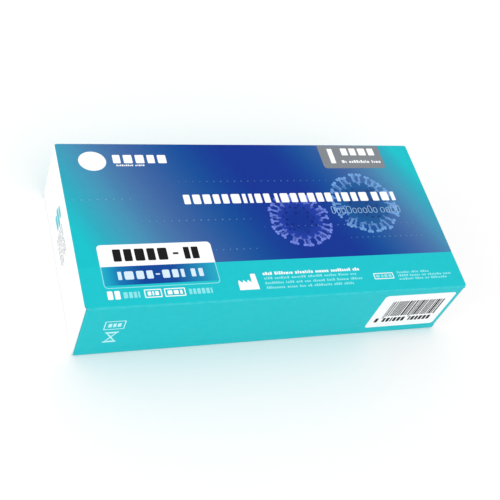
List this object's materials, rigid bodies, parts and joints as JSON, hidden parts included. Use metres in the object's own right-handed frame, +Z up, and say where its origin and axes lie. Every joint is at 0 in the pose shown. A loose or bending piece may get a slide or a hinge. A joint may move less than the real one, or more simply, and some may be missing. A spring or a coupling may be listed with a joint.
{
  "type": "test kit carton",
  "caption": "Closed folding carton of a single rapid test, with opening tuck flaps at both ends and the kit's packs inside.",
  "frame": {"origin": "middle of the carton's bottom panel, on the surface that it stands on", "axes": "+X along the carton, towards the end without the small marks; +Y from the front side panel to the back one; +Z up"},
  "size_m": [0.16, 0.0776, 0.0331],
  "materials": {
    "board_white": "matte uncoated white board",
    "teal_ink": "glossy varnished print",
    "blue_ink": "glossy varnished print",
    "white_ink": "glossy varnished print",
    "pale_blue_ink": "glossy varnished print",
    "grey_ink": "glossy varnished print",
    "dark_ink": "glossy varnished print",
    "violet_core_ink": "glossy varnished print",
    "violet_spike_ink": "glossy varnished print",
    "blue_core_ink": "glossy varnished print",
    "blue_spike_ink": "glossy varnished print",
    "strip_ink": "glossy varnished print",
    "paper_white": "thin matte printing paper",
    "foil": "matte laminated foil",
    "bag_film": "thin yellow polyethylene film",
    "clear_film": "clear peel film",
    "white_plastic": "moulded plastic",
    "swab_fibre": "flocked fibre",
    "clear_plastic": "translucent moulded plastic",
    "liquid": "clear buffer"
  },
  "bodies": {
    "carton": {"carton_body": "board_white", "teal_print": "teal_ink", "blue_print": "blue_ink", "corner_marks": "white_ink", "title_marks": "white_ink", "subtitle_marks": "pale_blue_ink", "violet_figure_core": "violet_core_ink", "violet_figure_spikes": "violet_spike_ink", "blue_figure_core": "blue_core_ink", "blue_figure_spikes": "blue_spike_ink", "corner_tab": "grey_ink", "tab_marks": "white_ink", "label_panel": "white_ink", "label_marks": "dark_ink", "label_strip": "strip_ink", "strip_marks": "white_ink", "label_frame": "pale_blue_ink", "band_marks": "white_ink", "front_marks": "white_ink", "code_panel": "white_ink", "code_bars": "dark_ink", "waste_bag": "bag_film", "leaflet": "paper_white", "foil_pouch": "foil", "swab_pack_back": "paper_white", "swab_pack_film": "clear_film", "swab_shaft": "white_plastic", "swab_tip": "swab_fibre", "extraction_tube": "clear_plastic", "tube_seal": "foil", "tube_liquid": "liquid", "dropper_cap": "white_plastic"},
    "left_flap": {"left_tuck_flap": "board_white", "end_mark": "teal_ink", "end_lines": "grey_ink"},
    "right_flap": {"right_tuck_flap": "board_white"}
  },
  "joints": [
    {"name": "left_flap_fold", "type": "hinge", "parent": "carton", "child": "left_flap", "pos_m": [-0.07975, 0, 0.03275], "axis": [0, 1, 0], "range_deg": [0, 180]},
    {"name": "right_flap_fold", "type": "hinge", "parent": "carton", "child": "right_flap", "pos_m": [0.07975, 0, 0.03275], "axis": [0, -1, 0], "range_deg": [0, 180]}
  ]
}
